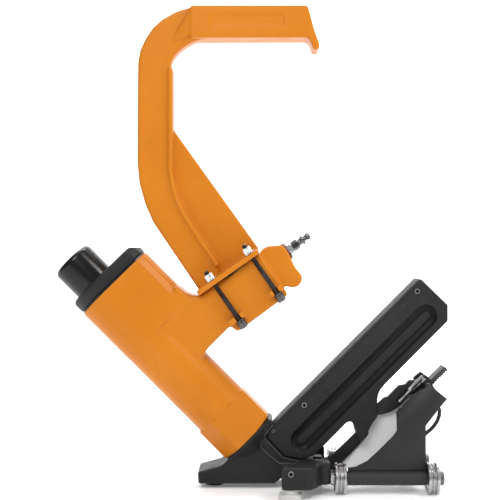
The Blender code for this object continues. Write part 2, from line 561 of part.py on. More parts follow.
# the upper rivet goes right through and is also the stop of the feed spring
x, z = TOP_RIVET
piece("mag_rivet_top", turned([(-19.3, 0.0), (-19.3, 1.5), (-20.3, 1.7), (-20.3, 3.2), (-18.9, 3.4), (-18.9, 1.6), (18.9, 1.6), (18.9, 3.4), (20.3, 3.2), (20.3, 1.7), (19.3, 1.5), (19.3, 0.0)],
                              14, axis='Y', centre=(x, 0, z)), "zinc", WORLD, (x, 0, z))
x, z = LOW_SCREW
for d, tag in ((-1, "near"), (1, "far")):
    piece(f"mag_screw_{tag}", turned([(d * 9.0, 0.0), (d * 9.0, 1.6), (d * 18.9, 1.6), (d * 18.9, 3.4), (d * 20.3, 3.2), (d * 20.3, 1.7), (d * 19.3, 1.5), (d * 19.3, 0.0)],
                                     14, axis='Y', centre=(x, 0, z)), "zinc", WORLD, (x, 0, z))
# rail that closes the lower side of the nail channel
piece("magazine_rail", prism([(23.4, 90.0), (26.6, 90.0), (26.6, 314.0), (23.4, 314.0)], -2.6, 2.6), "steel", BARREL)
# pusher and its feed spring in the head pocket
PUSH_T = 236.0
pusher = piece("pusher", prism([(-23.0, PUSH_T), (22.8, PUSH_T), (22.8, PUSH_T + 20.0), (-23.0, PUSH_T + 29.0)], -2.4, 2.4), "steel", BARREL, (0, 0, PUSH_T))
join(pusher, prism([(-26.4, PUSH_T + 2.0), (-20.4, PUSH_T + 2.0), (-20.4, PUSH_T + 30.0), (-26.4, PUSH_T + 30.0)], -5.6, 5.6), BARREL)
spring_bm = coil(0.0, 44.5, 2.7, 0.5, 8, 6, 4)
for v in spring_bm.verts:
    v.co = Vector((v.co.y - 23.5, v.co.z, PUSH_T + 30.5 + v.co.x))
piece("pusher_spring", spring_bm, "spring", BARREL)

# ================================================================ rolling base
TOP_Z = 38.3
# plan of the yoke as (x, y): two outer arms that carry pads, webs to the axle bosses, and the beam behind the nose
half_plan = [(37.6, -88.5), (66.0, -88.5), (72.0, -86.5), (78.0, -80.0), (82.5, -68.0), (86.0, -61.5), (95.8, -60.0), (95.8, -40.0), (97.0, -28.0), (97.0, 0.0)]
inner_plan = [(88.6, 0.0), (88.6, -27.2), (60.0, -27.2), (60.0, -52.0), (54.0, -61.0), (37.6, -61.0)]
plan = half_plan + [(x, -y) for x, y in half_plan[-2::-1]] + [(x, -y) for x, y in inner_plan[::-1]] + inner_plan[1:]
yoke = piece("front_bracket", prism_z(plan, 12.6, TOP_Z), "black")
bevel(yoke, 1.5, 1, 40)
# the middle beam is lower than the arms
cut(yoke, box(84.0, 120.0, -38.0, 38.0, 25.0, 60.0))
cut(yoke, box(50.0, 120.0, -38.5, -20.0, 27.0, 60.0))
cut(yoke, box(50.0, 120.0, 20.0, 38.5, 27.0, 60.0))
ARM = [(80.0, 16.0), (81.0, 25.5), (88.0, 29.8), (103.9, 38.6), (112.3, 46.4), (128.0, 61.6), (139.0, 74.0), (146.5, 74.0), (147.0, 62.0),
       (141.0, 54.6), (116.0, 28.8), (108.0, 20.0), (98.0, 16.0)]
arm = prism(ARM, -5.8, -1.0)
join(yoke, arm, WORLD, 1.0, 1)
for side in (-1, 1):
    cut(yoke, rod(70.0, 120.0, AXLE_R + 0.5, 14, centre=(0.0, side * AXLE_Y, AXLE_Z)))
    # pad screw hole and the bracket screws
    cut(yoke, rod(0.0, 30.0, 5.3, 12, axis='Z', centre=(PAD_X, side * PAD_Y, 0.0)))
    y0, y1 = sorted((side * 86.0, side * 95.0))
    cut(yoke, rod(y0, y1, 3.9, 16, axis='Y', centre=(47.9, 0, 31.4)))
    y0, y1 = sorted((side * 64.0, side * 95.0))
    cut(yoke, rod(y0, y1, 2.5, 12, axis='Y', centre=(47.9, 0, 31.4)))
    tag = "near" if side < 0 else "far"
    d = side
    piece(f"bracket_screw_{tag}", turned([(d * 64.5, 0.0), (d * 64.5, 2.2), (d * 86.3, 2.2), (d * 86.3, 3.6), (d * 89.3, 3.4), (d * 89.3, 1.8), (d * 87.2, 1.8), (d * 87.2, 0.0)],
                                         14, axis='Y', centre=(47.9, 0, 31.4)), "zinc")
    piece(f"glide_pad_{tag}", turned([(0.0, 0.0), (0.0, PAD_R - 1.6), (1.4, PAD_R), (5.8, PAD_R), (7.6, PAD_R - 1.4), (8.0, 10.5), (12.3, 10.0), (12.3, 4.8), (24.0, 4.8), (24.0, 0.0)],
                                     20, axis='Z', centre=(PAD_X, side * PAD_Y, 0.0)), "nylon")

# rear bracket: a bent shell between the two axle tubes
Y0 = 48.0
side_xz = [(117.4, 29.8), (126.5, 31.0), (140.2, 37.6), (151.7, 48.0), (171.2, 67.4), (176.3, 74.3), (176.3, 94.9), (198.6, 117.2), (206.0, 122.0), (217.0, 126.9), (235.3, 112.0),
           (226.5, 101.5), (209.9, 80.0), (209.9, 22.0), (117.0, 22.0)]
rear = piece("rear_bracket", prism(side_xz, -Y0, Y0), "black")


def flat_hull(side, inward, spread=0.0):
    """The room outside one flat of the bracket, which leans inwards above the crease."""
    bm = bmesh.new()
    base = [(178.5, 71.7), (246.6, 148.2), (150.0, 145.0), (120.0, 110.0)]
    verts = [bm.verts.new((x, side * (Y0 + 4.0 + spread), z)) for x, z in base]
    verts += [bm.verts.new((x, side * (Y0 + 0.1 - inward - lean), z)) for (x, z), lean in zip(base, (0.0, 0.0, 33.3, 33.3))]
    bmesh.ops.convex_hull(bm, input=bm.verts)
    bmesh.ops.recalc_face_normals(bm, faces=bm.faces)
    return bm


for side in (-1, 1):
    cut(rear, flat_hull(side, 0.0))
# hollow inside, open towards the arm and downwards, with walls that follow the flats
core = helper(prism([(90.0, 10.0), (206.2, 10.0), (206.2, 81.2), (223.4, 103.6), (228.8, 111.4), (213.2, 124.2), (206.0, 140.0), (150.0, 140.0), (90.0, 100.0)],
                     -Y0 + 3.6, Y0 - 3.6), WORLD, "core_rear_bracket")
for side in (-1, 1):
    cut(core, flat_hull(side, 3.9, 4.0))
boolean(rear, core, 'DIFFERENCE')
# the far cheek is narrower than the near one
cut(rear, prism([(90.0, 10.0), (148.0, 10.0), (153.5, 17.0), (187.0, 48.5), (192.5, 56.0), (192.5, 78.5), (207.0, 93.0), (207.0, 140.0), (150.0, 140.0), (90.0, 100.0)], 20.0, Y0 + 4.0))
for side in (-1, 1):
    cut(rear, rod(100.0, 220.0, TUBE_R + 0.3, 20, centre=(0.0, side * AXLE_Y, AXLE_Z)))
cut(rear, box(100, 230, -60, 60, 0, AXLE_Z + 3.0))

for side, tag in ((-1, "near"), (1, "far")):
    c = (0.0, side * AXLE_Y, AXLE_Z)
    piece(f"axle_tube_{tag}", tube(115.1, 209.7, TUBE_R, AXLE_R + 0.5, 16, centre=c), "black")
    piece(f"axle_{tag}", turned([(84.0, 0.0), (84.0, AXLE_R), (225.0, AXLE_R), (225.0, 8.2), (229.4, 8.2), (230.3, 7.2), (230.3, 3.6), (227.4, 3.2), (227.4, 0.0)], 14, centre=c), "oxide")
    piece(f"axle_nut_{tag}", tube(96.4, 100.6, 8.4, AXLE_R + 1.1, 6, centre=c), "steel")
    for x, end in ((ROLLER_X[0], "front"), (ROLLER_X[1], "rear")):
        r = ROLLER_R
        prof = [(x, AXLE_R + 0.3), (x, r - 0.6), (x + 0.6, r), (x + 3.6, r), (x + 4.2, r - 1.6), (x + 9.2, r - 1.6), (x + 9.8, r), (x + ROLLER_W, r), (x + ROLLER_W, AXLE_R + 0.3)]
        piece(f"roller_{end}_{tag}", turned(prof, 20, centre=c, closed=True), "steel", WORLD, (x + ROLLER_W / 2, side * AXLE_Y, AXLE_Z))

# wire hook on the back of the rear bracket
hook_mid = [(206.5, 67.0), (211.5, 71.5), (216.5, 75.6), (220.5, 80.0), (224.2, 85.8), (226.3, 92.0), (226.9, 98.0), (224.5, 103.5)]
join(rear, prism(ribbon(hook_mid, 2.1), -Y0 + 0.8, -Y0 + 5.2), WORLD, 1.1, 2)

# pale plate that the arm and the adjuster run along, from the magazine's leg into the rear bracket
slide_xz = [(112.5, 20.0), (112.5, 29.5), (126.0, 45.5), (137.0, 59.0), (141.0, 70.0), (146.0, 80.0), (151.5, 88.0), (163.0, 92.0), (175.0, 97.0), (188.0, 108.4), (191.0, 110.6),
            (208.6, 110.6), (212.0, 104.0), (203.4, 92.0), (203.4, 20.0)]
slide = piece("slide_plate", prism(slide_xz, -0.7, 1.3), "plate")

# adjuster over the rear bracket
HUB = (217.5, 123.5)
latch_xz = [(156.3, 99.3), (158.8, 100.8), (160.6, 102.6), (165.2, 106.9), (167.4, 108.2), (169.8, 108.0), (183.6, 122.4), (191.8, 123.6), (196.5, 128.9), (206.4, 129.0),
            (208.6, 127.0), (208.6, 111.5), (196.5, 111.5), (186.7, 98.8), (179.3, 93.2), (171.9, 89.6), (163.0, 87.0), (156.3, 86.3)]
latch = piece("latch_bracket", prism(latch_xz, -9.0, -1.0), "black")
bevel(latch, 0.8, 1, 40)
lever = piece("thumb_lever", rod(-10.5, 10.5, 7.6, 20, axis='Y', centre=(HUB[0], 0, HUB[1])), "black", WORLD, (HUB[0], 0, HUB[1]))
lev_dir = Vector((22.4, 21.8)).normalized()
lev_nrm = Vector((-lev_dir.y, lev_dir.x))
hub2 = Vector(HUB)


def along(d, w):
    p = hub2 + lev_dir * d + lev_nrm * w
    return (p.x, p.y)


rib_line = [along(2.0, -4.9)]
for k in range(6):
    d = 9.6 + 3.4 * k
    rib_line += [along(d, -4.9), along(d + 0.4, -3.9), along(d + 1.7, -3.9), along(d + 2.1, -4.9)]
rib_line += [along(30.6, -4.9), along(31.9, -2.0), along(31.2, 1.1), along(2.0, 1.1)]
join(lever, prism(rib_line, -11.5, 11.5))
cut(lever, rod(-20, 20, 2.5, 12, axis='Y', centre=(HUB[0], 0, HUB[1])))
pin_c = (HUB[0], 0, HUB[1])
piece("lever_pin", turned([(-19.4, 0.0), (-19.4, 3.6), (-18.2, 3.6), (-18.2, 2.2), (18.2, 2.2), (18.2, 3.6), (19.4, 3.6), (19.4, 0.0)], 14, axis='Y', centre=pin_c), "oxide", WORLD, pin_c)
# two cheeks on the rear bracket that carry the lever's pin
for side in (-1, 1):
    y0, y1 = sorted((side * 12.2, side * 17.0))
    join(rear, prism(soften([(205.3, 129.6), (213.9, 137.0), (217.8, 134.6), (220.9, 131.0), (223.4, 124.8), (231.0, 113.4), (222.0, 111.0), (206.5, 117.5)], 1.6, 2), y0, y1))
    cut(rear, rod(min(side * 11.0, side * 18.0), max(side * 11.0, side * 18.0), 2.5, 12, axis='Y', centre=pin_c))
    cut(rear, rod(min(side * 17.3, side * 20.5), max(side * 17.3, side * 20.5), 4.2, 12, axis='Y', centre=pin_c))
# room for the lever's hub
cut(rear, rod(-12.0, 12.0, 8.3, 20, axis='Y', centre=pin_c))
cut(rear, prism([along(0.0, -5.5), along(36.0, -5.5), along(36.0, 12.0), along(0.0, 12.0)], -12.0, 12.0))

# slotted link beside the adjuster, on a pivot in the latch bracket
LINK = (183.6, 105.5)
link = piece("slotted_link", prism(ribbon([(182.6, 104.4), (189.5, 111.5), (197.5, 120.1)], 1.9), -22.0, -20.0), "steel", WORLD, (LINK[0], 0, LINK[1]))
join(link, prism(ribbon([(195.5, 118.1), (211.9, 134.5)], 3.5), -22.1, -19.8))
join(link, rod(-21.0, -6.8, 2.0, 12, axis='Y', centre=(LINK[0], 0, LINK[1])))
cut(link, prism(ribbon([(199.6, 121.6), (210.2, 132.2)], 1.2), -30.0, -10.0))
cut(latch, rod(-20.0, -6.4, 2.4, 12, axis='Y', centre=(LINK[0], 0, LINK[1])))
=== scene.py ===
import json
from math import sin, cos, pi, radians, sqrt, tan, hypot
import bpy
import bmesh
from mathutils import Matrix, Vector, noise as mnoise


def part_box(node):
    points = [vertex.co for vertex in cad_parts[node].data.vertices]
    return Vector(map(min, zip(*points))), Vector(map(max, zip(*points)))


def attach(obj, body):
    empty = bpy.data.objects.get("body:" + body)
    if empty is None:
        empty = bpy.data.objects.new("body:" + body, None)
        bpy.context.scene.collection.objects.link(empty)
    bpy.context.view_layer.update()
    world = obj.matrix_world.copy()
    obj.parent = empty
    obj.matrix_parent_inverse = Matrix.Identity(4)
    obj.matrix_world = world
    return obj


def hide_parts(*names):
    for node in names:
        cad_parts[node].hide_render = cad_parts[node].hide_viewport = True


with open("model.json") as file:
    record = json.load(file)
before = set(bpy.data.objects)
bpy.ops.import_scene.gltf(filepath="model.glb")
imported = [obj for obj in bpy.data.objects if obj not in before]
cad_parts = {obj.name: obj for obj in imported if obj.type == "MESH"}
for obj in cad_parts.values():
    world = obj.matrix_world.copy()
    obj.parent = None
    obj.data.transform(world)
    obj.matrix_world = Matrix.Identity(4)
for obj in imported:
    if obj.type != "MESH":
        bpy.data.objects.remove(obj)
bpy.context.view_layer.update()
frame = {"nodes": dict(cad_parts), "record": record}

NODES = frame["nodes"]
MM = 0.001
SHIFT = Vector((-2.842, 0.0, 0.0))
BARREL = Matrix.Rotation(radians(45.0), 3, 'Y')
NECK = Matrix.Rotation(radians(-35.0), 3, 'Y')
PLUG = Matrix.Rotation(radians(-36.0), 3, 'Y')
WORLD = Matrix.Identity(3)
T = 40.6
BODY_OF = {n: b for b, ns in frame["record"]["behaviour"]["bodies"].items() for n in ns}
SLOT_OF = {p["node"]: p["material_slot"] for p in frame["record"]["subparts"]}


# ------------------------------------------------------------------ materials
class Nodes:
    """A small helper that lays out one material's nodes."""

    def __init__(self, name):
        self.mat = bpy.data.materials.new(name)
        self.mat.use_nodes = True
        self.tree = self.mat.node_tree
        self.bsdf = self.tree.nodes["Principled BSDF"]
        self.coord = self.add("ShaderNodeTexCoord").outputs["Object"]

    def add(self, kind, **inputs):
        node = self.tree.nodes.new(kind)
        for key, value in inputs.items():
            node.inputs[key].default_value = value
        return node

    def link(self, a, b):
        self.tree.links.new(a, b)

    def noise(self, scale, detail=3.0, rough=0.55, stretch=None, turn=None, distort=0.0):
        n = self.add("ShaderNodeTexNoise", Scale=scale, Detail=detail, Roughness=rough, Distortion=distort)
        source = self.coord
        if stretch or turn:
            m = self.add("ShaderNodeMapping")
            if turn:
                m.inputs["Rotation"].default_value = turn
            if stretch:
                m.inputs["Scale"].default_value = stretch
            self.link(source, m.inputs["Vector"])
            source = m.outputs["Vector"]
        self.link(source, n.inputs["Vector"])
        return n.outputs["Fac"]

    def ramp(self, fac, stops):
        r = self.add("ShaderNodeValToRGB")
        els = r.color_ramp.elements
        els[0].position, els[0].color = stops[0][0], (*stops[0][1], 1.0)
        els[1].position, els[1].color = stops[-1][0], (*stops[-1][1], 1.0)
        for pos, col in stops[1:-1]:
            e = els.new(pos)
            e.color = (*col, 1.0)
        self.link(fac, r.inputs["Fac"])
        return r.outputs["Color"]

    def span(self, fac, lo, hi, a=0.3, b=0.7):
        m = self.add("ShaderNodeMapRange")
        m.inputs["From Min"].default_value = a
        m.inputs["From Max"].default_value = b
        m.inputs["To Min"].default_value = lo
        m.inputs["To Max"].default_value = hi
        self.link(fac, m.inputs["Value"])
        return m.outputs["Result"]

    def mix(self, fac, a, b, blend='MIX', amount=None):
        m = self.add("ShaderNodeMix")
        m.data_type = 'RGBA'
        m.blend_type = blend
        if amount is not None:
            m.inputs["Factor"].default_value = amount
        else:
            self.link(fac, m.inputs["Factor"])
        for value, socket in ((a, m.inputs[6]), (b, m.inputs[7])):
            if isinstance(value, tuple):
                socket.default_value = (*value, 1.0)
            else:
                self.link(value, socket)
        return m.outputs[2]

    def edges(self, lo=0.52, hi=0.60):
        g = self.add("ShaderNodeNewGeometry")
        return self.span(g.outputs["Pointiness"], 0.0, 1.0, lo, hi)

    def multiply(self, a, b):
        m = self.add("ShaderNodeMath")
        m.operation = 'MULTIPLY'
        self.link(a, m.inputs[0])
        if isinstance(b, float):
            m.inputs[1].default_value = b
        else:
            self.link(b, m.inputs[1])
        return m.outputs[0]

    def bump(self, layers):
        """Layers of (height, strength, distance in metres), chained."""
        last = None
        for height, strength, distance in layers:
            b = self.add("ShaderNodeBump", Strength=strength, Distance=distance)
            self.link(height, b.inputs["Height"])
            if last:
                self.link(last, b.inputs["Normal"])
            last = b.outputs["Normal"]
        self.link(last, self.bsdf.inputs["Normal"])

    def set(self, **values):
        for key, value in values.items():
            self.bsdf.inputs[key.replace("_", " ")].default_value = value

    def out(self, colour, roughness):
        self.link(colour, self.bsdf.inputs["Base Color"])
        self.link(roughness, self.bsdf.inputs["Roughness"])
        return self.mat


def orange_paint():
    n = Nodes("orange_paint")
    broad = n.noise(9.0, 3.0, 0.5)
    base = n.ramp(broad, [(0.30, (0.525, 0.164, 0.008)), (0.55, (0.565, 0.182, 0.011)), (0.75, (0.60, 0.199, 0.014))])
    speck = n.noise(620.0, 2.0, 0.6)
    base = n.mix(n.span(speck, 0.0, 0.22, 0.50, 0.80), base, (0.65, 0.225, 0.026))
    grime = n.noise(46.0, 5.0, 0.62)
    base = n.mix(n.span(grime, 0.0, 0.20, 0.56, 0.78), base, (0.38, 0.110, 0.007))
    base = n.mix(n.multiply(n.edges(0.515, 0.58), 0.45), base, (0.74, 0.29, 0.06))
    rough = n.span(n.noise(60.0, 4.0, 0.6), 0.30, 0.44)
    n.bump([(n.noise(26.0, 3.0, 0.5), 0.10, 0.0012), (n.noise(430.0, 3.0, 0.6), 0.16, 0.00016), (n.noise(1500.0, 2.0, 0.5), 0.10, 0.00005)])
    n.set(Coat_Weight=0.05, Coat_Roughness=0.16, Specular_IOR_Level=0.13)
    return n.out(base, rough)


def dark(name, low, high, r0, r1, grain, depth, coat=0.0, metallic=0.0, edge=(0.11, 0.11, 0.11), edge_amount=0.5, dust_gain=2.0, specular=0.35):
    n = Nodes(name)
    base = n.ramp(n.noise(14.0, 4.0, 0.55), [(0.3, low), (0.7, high)])
    dust = n.noise(70.0, 6.0, 0.65)
    base = n.mix(n.span(dust, 0.0, 0.30, 0.58, 0.80), base, tuple(c * dust_gain for c in high))
    base = n.mix(n.multiply(n.edges(0.515, 0.585), edge_amount), base, edge)
    rough = n.span(n.noise(90.0, 4.0, 0.6), r0, r1)
    n.bump([(n.noise(30.0, 3.0, 0.5), 0.08, 0.0010), (n.noise(grain, 3.0, 0.6), 0.22, depth)])
    n.set(Metallic=metallic, Coat_Weight=coat, Coat_Roughness=0.25, Specular_IOR_Level=specular)
    return n.out(base, rough)


def metal(name, low, high, r0, r1, stretch=(1, 1, 1), turn=None, edge=(0.66, 0.66, 0.66), scale=240.0):
    n = Nodes(name)
    base = n.ramp(n.noise(40.0, 4.0, 0.6), [(0.3, low), (0.7, high)])
    stain = n.noise(150.0, 5.0, 0.6)
    base = n.mix(n.span(stain, 0.0, 0.35, 0.58, 0.82), base, tuple(c * 0.55 for c in low))
    base = n.mix(n.multiply(n.edges(0.52, 0.60), 0.5), base, edge)
    streak = n.noise(scale, 3.0, 0.6, stretch=stretch, turn=turn)
    rough = n.span(streak, r0, r1)
    n.bump([(streak, 0.18, 0.00006), (n.noise(900.0, 2.0, 0.5), 0.08, 0.00003)])
    n.set(Metallic=1.0)
    return n.out(base, rough)


def nylon(name, low, high):
    n = Nodes(name)
    base = n.ramp(n.noise(60.0, 4.0, 0.6), [(0.3, low), (0.7, high)])
    scuff = n.noise(260.0, 5.0, 0.65)
    base = n.mix(n.span(scuff, 0.0, 0.4, 0.58, 0.80), base, tuple(c * 0.7 for c in low))
    n.bump([(n.noise(500.0, 3.0, 0.6), 0.15, 0.0001)])
    n.set(Subsurface_Weight=0.12, Subsurface_Scale=0.002)
    return n.out(base, n.span(n.noise(140.0, 3.0, 0.6), 0.38, 0.55))


MAT = {
    "grey_plate": dark("grey_plate", (0.93, 0.935, 0.925), (0.96, 0.96, 0.95), 0.34, 0.46, 500.0, 0.00008, coat=0.0, edge=(0.92, 0.92, 0.92), edge_amount=0.3, dust_gain=0.93),
    "orange_paint": orange_paint(),
    "black_paint": dark("black_paint", (0.0085, 0.0085, 0.0088), (0.0130, 0.0130, 0.0134), 0.42, 0.56, 520.0, 0.00018, coat=0.03, edge=(0.06, 0.06, 0.06), specular=0.24),
    "black_anodised": dark("black_anodised", (0.0190, 0.0192, 0.0194), (0.0250, 0.0252, 0.0254), 0.46, 0.60, 700.0, 0.00010, coat=0.01, edge=(0.07, 0.07, 0.07), specular=0.07),
    "black_rubber": dark("black_rubber", (0.0035, 0.0035, 0.0035), (0.0060, 0.0060, 0.0060), 0.19, 0.26, 380.0, 0.00003, coat=0.0, specular=0.34, edge=(0.06, 0.06, 0.06), edge_amount=0.35),
    "black_plastic": dark("black_plastic", (0.0080, 0.0080, 0.0080), (0.0125, 0.0125, 0.0125), 0.44, 0.58, 640.0, 0.00014),
    "black_oxide": dark("black_oxide", (0.030, 0.026, 0.026), (0.050, 0.045, 0.046), 0.30, 0.46, 800.0, 0.00006, metallic=0.75, edge=(0.30, 0.29, 0.28), edge_amount=0.6),
    "zinc_plate": metal("zinc_plate", (0.58, 0.60, 0.64), (0.72, 0.73, 0.72), 0.16, 0.34, scale=300.0),
    "bright_steel": metal("bright_steel", (0.34, 0.345, 0.35), (0.46, 0.46, 0.46), 0.22, 0.36, stretch=(6.0, 0.6, 0.6)),
    # painted highlight: a lighter black for the lips and ribs, standing in for light caught on their edges
    "lip_painted_highlight": dark("lip_painted_highlight", (0.030, 0.030, 0.031), (0.060, 0.060, 0.060), 0.34, 0.46, 420.0, 0.00008, coat=0.05, edge=(0.12, 0.12, 0.12)),
    "dull_zinc": metal("dull_zinc", (0.20, 0.20, 0.20), (0.30, 0.30, 0.30), 0.34, 0.46, edge=(0.5, 0.5, 0.5)),
    # painted shade: a near-black for the insides of screw sockets and the rivet hole
    "socket_painted_shade": dark("socket_painted_shade", (0.002, 0.002, 0.002), (0.004, 0.004, 0.004), 0.60, 0.75, 700.0, 0.00005, coat=0.0, edge=(0.01, 0.01, 0.01), specular=0.03),
    # painted shade: a darker black for the lining of the magazine's groove
    "groove_painted_shade": dark("groove_painted_shade", (0.0030, 0.0031, 0.0032), (0.0055, 0.0056, 0.0057), 0.34, 0.46, 700.0, 0.00010, coat=0.0, edge=(0.016, 0.016, 0.016), specular=0.14),
    # painted reflection: a dark steel for the air plug, standing in for dark surroundings mirrored in its chrome
    "plug_painted_dark_reflection": metal("plug_painted_dark_reflection", (0.09, 0.09, 0.092), (0.17, 0.17, 0.17), 0.14, 0.26, edge=(0.34, 0.34, 0.34)),
    "spring_steel": metal("spring_steel", (0.22, 0.22, 0.23), (0.34, 0.34, 0.34), 0.26, 0.42),
    "machined_alloy": metal("machined_alloy", (0.52, 0.52, 0.53), (0.66, 0.66, 0.66), 0.28, 0.46, stretch=(1, 1, 8)),
    "red_seal": dark("red_seal", (0.125, 0.026, 0.014), (0.20, 0.052, 0.026), 0.42, 0.60, 500.0, 0.0002, edge=(0.32, 0.12, 0.07)),
    "pale_nylon": nylon("pale_nylon", (0.50, 0.50, 0.48), (0.62, 0.62, 0.60)),
}


# ------------------------------------------------------------------ mesh helpers (millimetres in a local frame)
def place(name, bm, slot, body, frame3=WORLD, sharp=35.0, nodes=(), mat=None):
    """Turn a mesh in millimetres into a piece that rides on a body and stands for CAD nodes."""
    bmesh.ops.remove_doubles(bm, verts=bm.verts, dist=0.0005)
    bmesh.ops.recalc_face_normals(bm, faces=bm.faces)
    for v in bm.verts:
        v.co = (frame3 @ v.co + SHIFT) * MM
    mesh = bpy.data.meshes.new(name)
    bm.to_mesh(mesh)
    bm.free()
    mesh.materials.append(MAT[mat or slot])
    mesh.shade_smooth()
    mesh.set_sharp_from_angle(angle=radians(sharp))
    obj = bpy.data.objects.new(name, mesh)
    bpy.context.scene.collection.objects.link(obj)
    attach(obj, body)
    if nodes:
        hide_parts(*nodes)
    return obj


def turned(profile, n=64, axis='X', centre=(0, 0, 0), closed=False, shape=None):
    """A turned shape; shape(angle, height, radius) may vary the radius round the axis."""
    bm = bmesh.new()
    rings = []
    for h, r in profile:
        if r < 1e-6:
            rings.append([bm.verts.new((h, 0, 0))])
            continue
        ring = []
        for k in range(n):
            a = 2 * pi * k / n
            rr = shape(a, h, r) if shape else r
            ring.append(bm.verts.new((h, rr * cos(a), rr * sin(a))))
        rings.append(ring)
    pairs = list(zip(rings, rings[1:])) + ([(rings[-1], rings[0])] if closed else [])
    for one, two in pairs:
        for k in range(n):
            j = (k + 1) % n
            if len(one) == 1 and len(two) == 1:
                continue
            if len(one) == 1:
                bm.faces.new((one[0], two[k], two[j]))
            elif len(two) == 1:
                bm.faces.new((one[k], one[j], two[0]))
            else:
                bm.faces.new((one[k], one[j], two[j], two[k]))
    if not closed:
        for ring in (rings[0], rings[-1]):
            if len(ring) > 1:
                bm.faces.new(ring)
    for v in bm.verts:
        if axis == 'Z':
            v.co = Vector((v.co.y, v.co.z, v.co.x))
        elif axis == 'Y':
            v.co = Vector((v.co.z, v.co.x, v.co.y))
        v.co += Vector(centre)
    return bm


def merge(*parts):
    """Several meshes in one."""
    out = bmesh.new()
    for bm in parts:
        mesh = bpy.data.meshes.new("tmp")
        bm.to_mesh(mesh)
        bm.free()
        out.from_mesh(mesh)
        bpy.data.meshes.remove(mesh)
    return out


def round_profile(points, r=0.5, seg=3, closed=False):
    """Fillet the corners of a turned profile."""
    out = []
    n = len(points)
    for i, p in enumerate(points):
        if not closed and i in (0, n - 1):
            out.append(p)
            continue
        p = Vector(p)
        a = Vector(points[i - 1]) - p
        b = Vector(points[(i + 1) % n]) - p
        if a.length < 1e-6 or b.length < 1e-6:
            continue
        c = min(r, a.length * 0.45, b.length * 0.45)
        s, e = p + a.normalized() * c, p + b.normalized() * c
        for k in range(seg + 1):
            t = k / seg
            q = s * (1 - t) ** 2 + p * 2 * t * (1 - t) + e * t * t
            out.append((q.x, max(q.y, 0.0)))
    return out


def hexed(flat):
    """Radius of a hexagon of that half width across the flats, for turned()."""
    def shape(a, h, r):
        b = (a + pi / 6) % (pi / 3) - pi / 6
        return min(r, flat / cos(b))
    return shape


def prism(points, y0, y1):
    bm = bmesh.new()
    face = bm.faces.new([bm.verts.new((p[0], y0, p[1])) for p in points])
    ret = bmesh.ops.extrude_face_region(bm, geom=[face])
    verts = [g for g in ret["geom"] if isinstance(g, bmesh.types.BMVert)]
    bmesh.ops.translate(bm, verts=verts, vec=(0, y1 - y0, 0))
    bmesh.ops.recalc_face_normals(bm, faces=bm.faces)
    return bm


def bevelled(bm, width, seg=2, angle=30.0):
    edges = [e for e in bm.edges if len(e.link_faces) == 2 and e.calc_face_angle(0.0) > radians(angle)]
    bmesh.ops.bevel(bm, geom=edges, offset=width, segments=seg, profile=0.5, affect='EDGES', clamp_overlap=True)
    return bm


def node_mesh(name, dissolve=True):
    """The CAD node's mesh as a new welded mesh, in metres."""
    bm = bmesh.new()
    bm.from_mesh(NODES[name].data)
    bmesh.ops.remove_doubles(bm, verts=bm.verts, dist=0.000004)
    if dissolve:
        bmesh.ops.dissolve_limit(bm, angle_limit=radians(0.8), verts=bm.verts, edges=bm.edges)
    return bm


def link_piece(name, mesh, slot, node):
    mesh.materials.clear()
    mesh.materials.append(MAT[slot])
    obj = bpy.data.objects.new(name, mesh)
    bpy.context.scene.collection.objects.link(obj)
    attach(obj, BODY_OF[node])
    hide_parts(node)
    return obj


def cast(node, slot, voxel=0.0011, rounds=5, factor=0.5, soft=None, soft_rounds=50):
    """A casting: the node's solid with every corner and fillet rounded over, as a mould leaves it."""
    bm = node_mesh(node, dissolve=False)
    mesh = bpy.data.meshes.new(node + "_cast")
    bm.to_mesh(mesh)
    bm.free()
    tmp = bpy.data.objects.new("tmp_" + node, mesh)
    bpy.context.scene.collection.objects.link(tmp)
    rem = tmp.modifiers.new("voxel", 'REMESH')
    rem.mode = 'VOXEL'
    rem.voxel_size = voxel
    rem.adaptivity = 0.0
    sm = tmp.modifiers.new("smooth", 'SMOOTH')
    sm.factor = factor
    sm.iterations = rounds
    deps = bpy.context.evaluated_depsgraph_get()
    out = bpy.data.meshes.new_from_object(tmp.evaluated_get(deps))
    bpy.data.objects.remove(tmp)
    out.name = node + "_cast"
    if soft:
        bm = bmesh.new()
        bm.from_mesh(out)
        chosen = [v for v in bm.verts if soft(v.co * 1000.0 - SHIFT)]
        for _ in range(soft_rounds):
            bmesh.ops.smooth_vert(bm, verts=chosen, factor=0.5, use_axis_x=True, use_axis_y=True, use_axis_z=True)
        bm.to_mesh(out)
        bm.free()
    low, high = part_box(node)
    for v in out.vertices:
        v.co = Vector(tuple(min(max(v.co[i], low[i]), high[i]) for i in range(3)))
    for p in out.polygons:
        p.use_smooth = True
    return link_piece(node + "_cast", out, slot, node)


def crisp(node, slot, width, seg=2, angle=28.0, sharp=40.0):
    """A machined or bent piece: the node's solid with a small even edge radius."""
    bm = node_mesh(node)
    edges = [e for e in bm.edges if len(e.link_faces) == 2 and e.calc_face_angle(0.0) > radians(angle)]
    bmesh.ops.bevel(bm, geom=edges, offset=width * MM, segments=seg, profile=0.5, affect='EDGES', clamp_overlap=True)
    bmesh.ops.triangulate(bm, faces=[f for f in bm.faces if len(f.verts) > 4])
    bmesh.ops.recalc_face_normals(bm, faces=bm.faces)
    mesh = bpy.data.meshes.new(node + "_fine")
    bm.to_mesh(mesh)
    bm.free()
    mesh.shade_smooth()
    mesh.set_sharp_from_angle(angle=radians(sharp))
    return link_piece(node + "_fine", mesh, slot, node)


# every CAD node starts with its own slot's material; the pieces below take over the visible ones
for name, obj in NODES.items():
    obj.data.materials.clear()
    obj.data.materials.append(MAT[SLOT_OF[name]])

# ------------------------------------------------------------------ castings and plates


def near_head_end(p):
    """Where the wide head runs out into the barrel and the neck."""
    q = BARREL.transposed() @ p
    return -232.0 < q.x < -198.0 and abs(p.y) > 12.0 and q.z > 30.0


